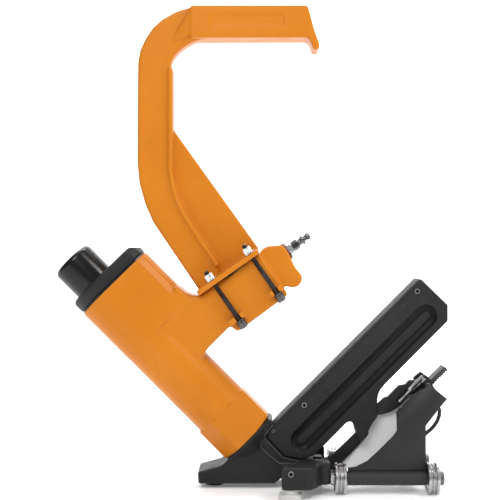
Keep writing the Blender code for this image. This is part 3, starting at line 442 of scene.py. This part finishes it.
cast("body_casting", "orange_paint", voxel=0.0010, rounds=5, soft=near_head_end)
cast("handle", "orange_paint", voxel=0.0011, rounds=5)
cast("nose_casting", "black_paint", voxel=0.0009, rounds=4)
cast("front_bracket", "black_paint", voxel=0.0009, rounds=4)
crisp("end_cap", "black_paint", 0.7, 3)
crisp("magazine_body", "black_anodised", 0.55, 2)
crisp("rear_bracket", "black_paint", 0.5, 2)
crisp("latch_bracket", "black_plastic", 0.35, 2)
crisp("thumb_lever", "black_plastic", 0.3, 2)
crisp("slotted_link", "bright_steel", 0.25, 2)
crisp("slide_plate", "grey_plate", 0.4, 2)

# ------------------------------------------------------------------ rounded trough of the magazine's long groove
def trough(side):
    """A round-bottomed lining of the long groove; side is -1 near and 1 far."""
    s0, t0, t1, radius, depth = 4.5, 72.0, 314.0, 13.95, 4.95
    bm = bmesh.new()

    def ring(r, y):
        pts = [(s0 + r * cos(pi * k / 20), t1 - 14.0 + r * sin(pi * k / 20)) for k in range(21)] + [(s0 - r * cos(pi * k / 20), t0 + 14.0 - r * sin(pi * k / 20)) for k in range(21)]
        return [bm.verts.new((a, y, b)) for a, b in pts]

    rows = [ring(radius, side * (20.0 - depth))]
    for k in range(13):
        f = k / 13.0
        rows.append(ring(radius * (1.0 - f), side * (20.0 - 0.35 - (depth - 0.4) * sin(pi / 2 * min(1.0, f * 1.45)) ** 0.8)))
    for one, two in zip(rows, rows[1:]):
        for k in range(len(one)):
            j = (k + 1) % len(one)
            bm.faces.new((one[k], one[j], two[j], two[k]))
    bm.faces.new(rows[0])
    last = rows[-1]
    bm.faces.new(last)
    return bm


def crown(side):
    """The long rounded rib that stands in the middle of the trough."""
    s0, t0, t1, radius = 4.5, 79.0, 306.0, 5.2
    bm = bmesh.new()

    def ring(r, y):
        pts = [(s0 + r * cos(pi * k / 16), t1 - radius + r * sin(pi * k / 16)) for k in range(17)] + [(s0 - r * cos(pi * k / 16), t0 + radius - r * sin(pi * k / 16)) for k in range(17)]
        return [bm.verts.new((a, y, b)) for a, b in pts]

    rows = [ring(radius, side * 15.02)] + [ring(radius * cos(radians(a)), side * (15.3 + 2.5 * sin(radians(a)))) for a in (0, 12, 25, 38, 52, 66, 80)]
    for one, two in zip(rows, rows[1:]):
        for k in range(len(one)):
            j = (k + 1) % len(one)
            bm.faces.new((one[k], one[j], two[j], two[k]))
    bm.faces.new(rows[0])
    bm.faces.new(rows[-1])
    return bm


for side, tag in ((-1, "near"), (1, "far")):
    place(f"magazine_crown_{tag}", crown(side), "black_anodised", "frame", BARREL, 60)
    # the trough lining takes a darker black than the magazine: painted shade inside the groove
    place(f"magazine_trough_{tag}", trough(side), "black_anodised", "frame", BARREL, 50, (), "groove_painted_shade")
# dark shim in the recess under the clamp plate
place("clamp_shim", bevelled(prism([(120.1, 226.1), (151.3, 226.1), (151.3, 227.4), (120.1, 227.4)], -36.5, 36.5), 0.15), "black_rubber", "frame", NECK)



def bead(path, y, r, sides=8):
    """A thin rounded lip laid along a line of the nose, points in world x and z."""
    bm = bmesh.new()
    rings = []
    for i, (x, z) in enumerate(path):
        ax, az = path[max(i - 1, 0)]
        bx, bz = path[min(i + 1, len(path) - 1)]
        size = hypot(bx - ax, bz - az)
        nx, nz = -(bz - az) / size, (bx - ax) / size
        rings.append([bm.verts.new((x + nx * r * cos(2 * pi * k / sides), y + r * sin(2 * pi * k / sides), z + nz * r * cos(2 * pi * k / sides))) for k in range(sides)])
    for one, two in zip(rings, rings[1:]):
        for k in range(sides):
            j = (k + 1) % sides
            bm.faces.new((one[k], one[j], two[j], two[k]))
    bm.faces.new(rings[0])
    bm.faces.new(rings[-1])
    return bm


OUTER_LIP = [(28.6, 76.6), (26.6, 74.4), (15.2, 61.1), (14.3, 59.5), (14.1, 57.4), (14.1, 51.0), (14.6, 49.2), (16.0, 47.6), (34.6, 32.0), (36.4, 30.9), (38.6, 30.4), (58.0, 29.6), (61.0, 29.2), (74.0, 25.6)]
INNER_LIP = [(23.0, 70.0), (19.6, 65.6), (19.2, 60.6), (22.0, 57.3), (38.6, 39.4), (41.2, 37.4), (44.4, 36.4), (60.6, 32.8), (64.0, 32.3), (86.0, 31.2)]
for side, tag in ((-1, "near"), (1, "far")):
    # the lips take a lighter black than the nose casting: painted highlight along the edges
    place(f"nose_outer_lip_{tag}", bead(OUTER_LIP, side * 25.55, 0.55), "black_paint", "frame", WORLD, 60, (), "lip_painted_highlight")
    place(f"nose_inner_lip_{tag}", bead(INNER_LIP, side * 23.35, 0.42), "black_paint", "frame", WORLD, 60, (), "lip_painted_highlight")
    rivet = [(side * 18.6, 0.0), (side * 18.6, 2.1), (side * 20.1, 2.1), (side * 20.35, 1.7), (side * 20.35, 1.2), (side * 19.9, 0.9), (side * 19.9, 0.0)]
    place(f"foot_rivet_{tag}", turned(rivet, 32, axis='Y', centre=(29.2, 0.0, 68.6)), "black_oxide", "frame", WORLD, 30, ())

# ------------------------------------------------------------------ finger ribs on both faces of the thumb lever
LEVER_HUB, LEVER_DIR = Vector((217.5, 123.5)), Vector((22.4, 21.8)).normalized()
LEVER_NORMAL = Vector((-LEVER_DIR.y, LEVER_DIR.x))


def on_lever(d, w):
    q = LEVER_HUB + LEVER_DIR * d + LEVER_NORMAL * w
    return (q.x, q.y)


for side, tag in ((-1, "near"), (1, "far")):
    y0, y1 = sorted((side * 11.3, side * 11.95))
    for k in range(8):
        d = 10.2 + 2.6 * k
        # the ribs take the same lighter black: painted highlight on their edges
        place(f"lever_rib_{tag}_{k + 1}", bevelled(prism([on_lever(d, -4.5), on_lever(d + 1.1, -4.5), on_lever(d + 1.1, 0.8), on_lever(d, 0.8)], y0, y1), 0.12), "black_plastic", "lever", WORLD, 30, (), "lip_painted_highlight")

# ------------------------------------------------------------------ rubber strike cap, ram and cap screws
AX = (0.0, 0.0, T)
strike = [(-352.0, 0.0), (-352.0, 15.0), (-352.0, 22.6), (-350.6, 25.2), (-347.4, 27.15), (-326.0, 27.15), (-310.4, 27.15), (-308.0, 25.4), (-308.0, 9.3), (-340.0, 9.3), (-340.0, 0.0)]
place("strike_cap_fine", turned(round_profile(strike, 1.8, 5), 96, centre=AX), "black_rubber", "striker", BARREL, 50, ("strike_cap",))
stem = [(-339.7, 0.0), (-339.7, 9.0), (-300.0, 9.0), (-300.0, 22.0), (-296.0, 22.0), (-296.0, 6.0), (-252.0, 6.0), (-252.0, 9.5), (-247.0, 9.5), (-245.0, 7.0), (-245.0, 0.0)]
place("ram_stem_fine", turned(round_profile(stem, 0.5, 3), 48, centre=AX), "bright_steel", "striker", BARREL, 35, ("ram_stem",))
CAP_OUT = -292.3 - 1.5 - 0.3 - 16.3
for k, (y, t) in enumerate(((25.0, 66.0), (-25.0, 66.0), (14.0, 93.4), (-14.0, 93.4))):
    s0 = CAP_OUT + 0.4
    screw = turned([(s0 + 3.2, 0.0), (s0 + 3.0, 2.0), (s0, 2.0), (s0, 4.0), (s0 + 0.6, 4.6), (CAP_OUT + 4.7, 4.6), (CAP_OUT + 4.7, 2.4), (-280.6, 2.4), (-279.6, 0.0)], 42, centre=(0.0, y, t),
                   shape=lambda a, h, r: min(r, 1.75 / cos((a + pi / 6) % (pi / 3) - pi / 6)) if abs(r - 2.0) < 0.01 else r)
    place(f"cap_screw_fine_{k + 1}", screw, "black_oxide", "frame", BARREL, 30, (f"cap_screw_{k + 1}",))

# ------------------------------------------------------------------ clamp bolts and nuts
k = 0
for side in (-1, 1):
    for u in (107.8, 163.6):
        k += 1
        c = (u, side * 32.0, 0.0)
        hexed_socket = lambda a, h, r: min(r, 2.5 / cos((a + pi / 6) % (pi / 3) - pi / 6)) if abs(r - 2.8) < 0.01 else r
        head = [(166.6, 0.0), (166.6, 2.8), (163.2, 2.8), (163.2, 4.3), (164.2, 5.5), (171.6, 5.5), (172.0, 5.0), (172.4, 5.5), (173.6, 5.5), (174.0, 4.6), (174.0, 3.0), (205.0, 3.0)]
        thread = []
        w = 205.0
        while w < 244.0:
            thread += [(w + 0.35, 3.0), (w + 0.7, 2.66)]
            w += 0.8
        bolt = turned(head + thread + [(244.9, 3.0), (246.0, 2.2), (246.0, 0.0)], 42, axis='Z', centre=c, shape=hexed_socket)
        place(f"clamp_bolt_fine_{k}", bolt, "black_oxide", "frame", NECK, 30, (f"clamp_bolt_{k}",))
        w0 = 232.8 + 0.3
        washer = turned(round_profile([(w0, 3.3), (w0, 7.0), (w0 + 1.5, 7.0), (w0 + 1.5, 3.3)], 0.3, 2, True), 56, axis='Z', centre=c, closed=True)
        hexnut = turned([(w0 + 1.55, 3.3), (w0 + 1.55, 5.3), (w0 + 1.9, 5.85), (w0 + 7.4, 5.85), (w0 + 8.3, 5.1), (w0 + 8.3, 3.9), (w0 + 7.8, 3.3)], 60, axis='Z', centre=c, closed=True,
                        shape=lambda a, h, r: min(r, 5.0 / cos((a + pi / 6) % (pi / 3) - pi / 6)))
        place(f"clamp_nut_fine_{k}", merge(washer, hexnut), "zinc_plate", "frame", NECK, 28, (f"clamp_nut_{k}",))

# ------------------------------------------------------------------ air inlet: seal, hexagon bushing and plug
PU = 46.6 * cos(radians(36)) + 287.6 * sin(radians(36))
PW = -46.6 * sin(radians(36)) + 287.6 * cos(radians(36))
PC = (0.0, 0.0, PW)
place("inlet_seal_fine", turned(round_profile([(PU - 3.1, 6.5), (PU - 3.1, 11.35), (PU + 0.2, 11.35), (PU + 1.6, 10.6), (PU + 1.6, 6.5)], 0.6, 3, True), 64, centre=PC, closed=True),
      "red_seal", "frame", PLUG, 35, ("inlet_seal",))
bush = [(PU - 18.0, 4.1), (PU - 18.0, 5.5), (PU + 1.9, 5.5), (PU + 1.9, 9.6), (PU + 2.5, 10.55), (PU + 7.5, 10.55), (PU + 8.2, 9.5), (PU + 8.2, 7.3), (PU + 7.9, 6.9), (PU + 7.9, 4.1)]
place("hex_bushing_fine", turned(bush, 84, centre=PC, closed=True, shape=lambda a, h, r: min(r, 9.15 / cos((a + pi / 6) % (pi / 3) - pi / 6)) if r > 7.4 else r),
      "zinc_plate", "frame", PLUG, 28, ("hex_bushing",))
plug = [(PU - 6.0, 2.1), (PU - 6.0, 3.7), (PU + 8.5, 3.7), (PU + 8.5, 5.6), (PU + 9.1, 6.2), (PU + 16.4, 6.2), (PU + 17.0, 5.6), (PU + 17.0, 3.9), (PU + 22.0, 3.9), (PU + 22.0, 5.7), (PU + 25.0, 5.7),
        (PU + 25.0, 3.3), (PU + 29.0, 3.3), (PU + 30.0, 4.6), (PU + 34.0, 4.25), (PU + 34.0, 2.1)]
# the plug takes a darkened steel: painted dark reflection in place of its bright chrome
place("air_plug_fine", turned(round_profile(plug, 0.35, 2, True), 84, centre=PC, closed=True,
                              shape=lambda a, h, r: min(r, 5.4 / cos((a + pi / 6) % (pi / 3) - pi / 6)) if PU + 8.6 < h < PU + 16.9 else r),
      "zinc_plate", "frame", PLUG, 28, ("air_plug",), "plug_painted_dark_reflection")

# ------------------------------------------------------------------ feet and pads
toe = [(0.0, 0.0), (0.0, 10.4), (0.9, 11.7), (4.4, 11.7), (5.5, 10.8), (5.7, 5.9), (8.0, 5.9), (8.0, 0.0)]
place("toe_foot_fine", turned(round_profile(toe, 0.8, 4), 72, axis='Z', centre=(-42.8, 0.0, 0.0)), "black_rubber", "frame", WORLD, 40, ("toe_foot",))
for side, tag in ((-1, "near"), (1, "far")):
    pad = [(0.0, 0.0), (0.0, 12.8), (1.3, 14.1), (5.4, 14.1), (7.2, 13.2), (8.0, 10.5), (12.3, 10.0), (12.3, 4.8), (24.0, 4.8), (24.0, 0.0)]
    place(f"glide_pad_fine_{tag}", turned(round_profile(pad, 0.9, 4), 80, axis='Z', centre=(47.9, side * 75.0, 0.0)), "pale_nylon", "frame", WORLD, 40, (f"glide_pad_{tag}",))
    d = side
    socket = lambda a, h, r: min(r, 2.3 / cos((a + pi / 6) % (pi / 3) - pi / 6)) if abs(r - 2.5) < 0.01 else r
    screw = [(d * 64.5, 0.0), (d * 64.5, 2.1), (d * 86.3, 2.1), (d * 86.3, 3.5), (d * 88.5, 3.6), (d * 89.28, 3.0), (d * 89.28, 2.5), (d * 87.2, 2.5), (d * 87.2, 0.0)]
    place(f"bracket_screw_fine_{tag}", turned(screw, 48, axis='Y', centre=(47.9, 0.0, 31.4), shape=socket), "zinc_plate", "frame", WORLD, 30, (f"bracket_screw_{tag}",), "dull_zinc")
    screw = [(d * 9.0, 0.0), (d * 9.0, 1.6), (d * 18.9, 1.6), (d * 18.9, 3.2), (d * 20.0, 3.2), (d * 20.28, 2.9), (d * 20.28, 2.2), (d * 19.3, 2.05), (d * 19.3, 0.0)]
    place(f"mag_screw_fine_{tag}", turned(screw, 40, axis='Y', centre=(67.0, 0.0, 100.1)), "zinc_plate", "frame", WORLD, 30, (f"mag_screw_{tag}",), "dull_zinc")
# near-black discs set in the screw sockets and the rivet hole: painted shade standing in for the shadow inside each
# socket
for y0, y1, x, z, r in ((-88.6, -87.1, 47.9, 31.4, 2.35), (87.1, 88.6, 47.9, 31.4, 2.35), (-20.05, -19.2, 67.0, 100.1, 2.12), (19.2, 20.05, 67.0, 100.1, 2.12),
                        (-20.05, -19.2, 204.5, 238.9, 2.05), (19.2, 20.05, 204.5, 238.9, 2.05)):
    place(f"socket_floor_{x:.0f}_{'near' if y0 < 0 else 'far'}", turned([(y0, 0.0), (y0, r), (y1, r), (y1, 0.0)], 24, axis='Y', centre=(x, 0.0, z)), "black_oxide", "frame", WORLD, 30, (), "socket_painted_shade")
rivet = [(-19.3, 0.0), (-19.3, 1.5), (-20.28, 2.1), (-20.28, 2.9), (-20.0, 3.2), (-18.9, 3.2), (-18.9, 1.6), (18.9, 1.6), (18.9, 3.2), (20.0, 3.2), (20.28, 2.9), (20.28, 2.1), (19.3, 1.5), (19.3, 0.0)]
place("mag_rivet_fine", turned(rivet, 40, axis='Y', centre=(204.5, 0.0, 238.9)), "zinc_plate", "frame", WORLD, 30, ("mag_rivet_top",), "dull_zinc")

# ------------------------------------------------------------------ axles, tubes, nuts and bearing rollers
for side, tag in ((-1, "near"), (1, "far")):
    c = (0.0, side * 50.0, 18.3)
    tube = [(115.1, 5.1), (115.1, 8.0), (115.4, 8.25), (209.4, 8.25), (209.7, 8.0), (209.7, 5.1)]
    place(f"axle_tube_fine_{tag}", turned(tube, 64, centre=c, closed=True), "black_paint", "frame", WORLD, 35, (f"axle_tube_{tag}",))
    axle = [(84.0, 0.0), (84.0, 3.8), (84.8, 4.6), (225.0, 4.6), (225.0, 7.6), (225.6, 8.2), (229.4, 8.2), (230.3, 7.4), (230.3, 3.6), (227.4, 3.4), (227.4, 0.0)]
    place(f"axle_fine_{tag}", turned(axle, 60, centre=c, shape=lambda a, h, r: min(r, 3.1 / cos((a + pi / 6) % (pi / 3) - pi / 6)) if h > 227.0 and r < 3.7 else r),
          "black_oxide", "frame", WORLD, 30, (f"axle_{tag}",))
    nut = [(96.4, 5.7), (96.4, 7.4), (96.8, 8.3), (100.2, 8.3), (100.6, 7.4), (100.6, 5.7)]
    place(f"axle_nut_fine_{tag}", turned(nut, 60, centre=c, closed=True, shape=lambda a, h, r: min(r, 7.25 / cos((a + pi / 6) % (pi / 3) - pi / 6)) if r > 6.0 else r),
          "bright_steel", "frame", WORLD, 28, (f"axle_nut_{tag}",))
    for x, end in ((101.1, "front"), (210.3, "rear")):
        p = [(0.0, 4.9), (0.0, 7.2), (0.5, 7.6), (0.9, 8.2), (0.9, 14.2), (0.4, 14.8), (0.0, 15.2), (0.0, 17.5), (0.7, 18.3), (2.9, 18.3), (3.5, 17.9), (4.2, 16.7), (5.2, 16.65), (5.6, 17.2), (6.1, 17.5),
             (7.3, 17.5), (7.8, 17.2), (8.2, 16.65), (9.2, 16.7), (9.9, 17.9), (10.5, 18.3), (12.7, 18.3), (13.4, 17.5), (13.4, 15.2), (13.0, 14.8), (12.5, 14.2), (12.5, 8.2), (12.9, 7.6), (13.4, 7.2), (13.4, 4.9)]
        place(f"roller_fine_{end}_{tag}", turned([(x + h, r) for h, r in p], 96, centre=c, closed=True), "bright_steel", f"roller_{end}_{tag}_body", WORLD, 26, (f"roller_{end}_{tag}",))

# ------------------------------------------------------------------ lever pin
pin = [(-19.4, 0.0), (-19.4, 3.0), (-19.0, 3.6), (-18.2, 3.6), (-18.2, 2.2), (18.2, 2.2), (18.2, 3.6), (19.0, 3.6), (19.4, 3.0), (19.4, 0.0)]
place("lever_pin_fine", turned(pin, 40, axis='Y', centre=(217.5, 0.0, 123.5)), "black_oxide", BODY_OF["lever_pin"], WORLD, 30, ("lever_pin",))

# ------------------------------------------------------------------ camera
cam = bpy.data.cameras.new("camera")
cam.lens = 71.0
cam.sensor_width = 36.0
cam.clip_end = 50.0
eye = bpy.data.objects.new("camera", cam)
eye.location = (-0.00196, -1.220, 0.2891)
eye.rotation_euler = (radians(90.0), 0.0, 0.0)
bpy.context.scene.collection.objects.link(eye)
bpy.context.scene.camera = eye


# ------------------------------------------------------------------ studio
def flat_material(name, rgb, rough):
    n = Nodes(name)
    shade = n.ramp(n.noise(3.0, 2.0, 0.5), [(0.3, tuple(c * 0.985 for c in rgb)), (0.7, rgb)])
    n.link(shade, n.bsdf.inputs["Base Color"])
    n.link(shade, n.bsdf.inputs["Emission Color"])
    n.set(Roughness=rough, Specular_IOR_Level=0.2, Emission_Strength=0.14)
    return n.mat


bm = bmesh.new()
path = [(-3.0, 0.0), (1.2, 0.0)] + [(1.2 + 0.9 * sin(radians(a)), 0.9 - 0.9 * cos(radians(a))) for a in range(10, 91, 10)] + [(2.1, 3.2)]
rows = [[bm.verts.new((x, y, z)) for y, z in path] for x in (-4.0, 4.0)]
for k in range(len(path) - 1):
    bm.faces.new((rows[0][k], rows[1][k], rows[1][k + 1], rows[0][k + 1]))
bmesh.ops.recalc_face_normals(bm, faces=bm.faces)
mesh = bpy.data.meshes.new("studio_floor")
bm.to_mesh(mesh)
bm.free()
mesh.materials.append(flat_material("studio_white", (0.96, 0.96, 0.96), 0.7))
mesh.shade_smooth()
floor = bpy.data.objects.new("studio_floor", mesh)
bpy.context.scene.collection.objects.link(floor)


def lamp(name, location, target, size, power, size_y=None):
    data = bpy.data.lights.new(name, 'AREA')
    data.shape = 'RECTANGLE'
    data.size = size
    data.size_y = size_y or size
    data.energy = power
    obj = bpy.data.objects.new(name, data)
    obj.location = location
    obj.rotation_euler = (Vector(target) - Vector(location)).to_track_quat('-Z', 'Y').to_euler()
    bpy.context.scene.collection.objects.link(obj)
    return obj


lamp("key", (-0.45, -1.9, 1.70), (0, 0, 0.25), 1.1, 27.5)
lamp("accent", (0.74, -0.44, 1.18), (-0.15, 0, 0.28), 0.34, 5.0)
lamp("fill", (2.0, -1.1, 0.9), (0, 0, 0.25), 1.0, 11.0)
lamp("top", (-0.5, 0.1, 2.2), (0, 0, 0.2), 1.6, 8.5)
lamp("back_wall", (0.0, 0.9, 2.4), (0.0, 2.1, 0.6), 2.4, 70.0, 0.8)
world = bpy.data.worlds.new("studio")
world.use_nodes = True
world.node_tree.nodes["Background"].inputs["Color"].default_value = (1.0, 1.0, 1.0, 1.0)
world.node_tree.nodes["Background"].inputs["Strength"].default_value = 0.30
bpy.context.scene.world = world
bpy.context.scene.view_settings.view_transform = "Standard"
